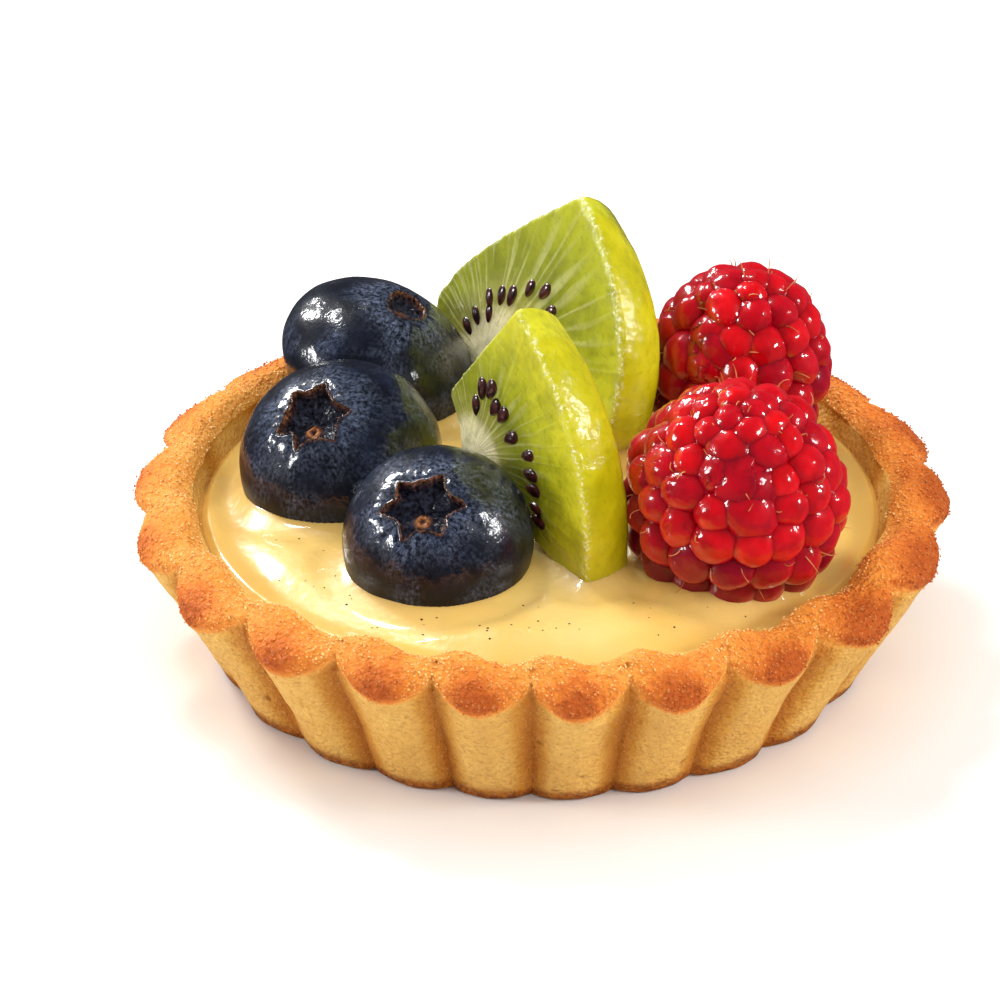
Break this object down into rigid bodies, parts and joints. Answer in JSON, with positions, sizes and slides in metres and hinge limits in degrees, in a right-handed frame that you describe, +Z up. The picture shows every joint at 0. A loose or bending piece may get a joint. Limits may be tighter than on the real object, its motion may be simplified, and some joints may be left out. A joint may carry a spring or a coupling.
{
  "type": "fruit tart",
  "caption": "Small fluted shortcrust tart filled with custard and topped with glazed blueberries, kiwi slices and raspberries.",
  "frame": {"origin": "middle of the crust's underside, on the surface that the tart rests on", "axes": "+Z up; -Y is the front, where the front blueberry, the front kiwi slice and the front raspberry show; +X to the right as seen from the front"},
  "size_m": [0.0777, 0.0776, 0.04],
  "materials": {
    "crust": "baked shortcrust, dry and finely grained, browned at the rim",
    "custard": "smooth set custard under a thin glaze",
    "blueberry": "dark blue skin with bloom, glazed",
    "kiwi": "wet green flesh, glazed",
    "raspberry": "juicy red drupelets, glazed"
  },
  "bodies": {
    "root": {"crust": "crust", "custard": "custard", "blueberry_front": "blueberry", "blueberry_left": "blueberry", "blueberry_back": "blueberry", "kiwi_slice_front": "kiwi", "kiwi_slice_back": "kiwi", "raspberry_front": "raspberry", "raspberry_back": "raspberry"}
  },
  "joints": []
}
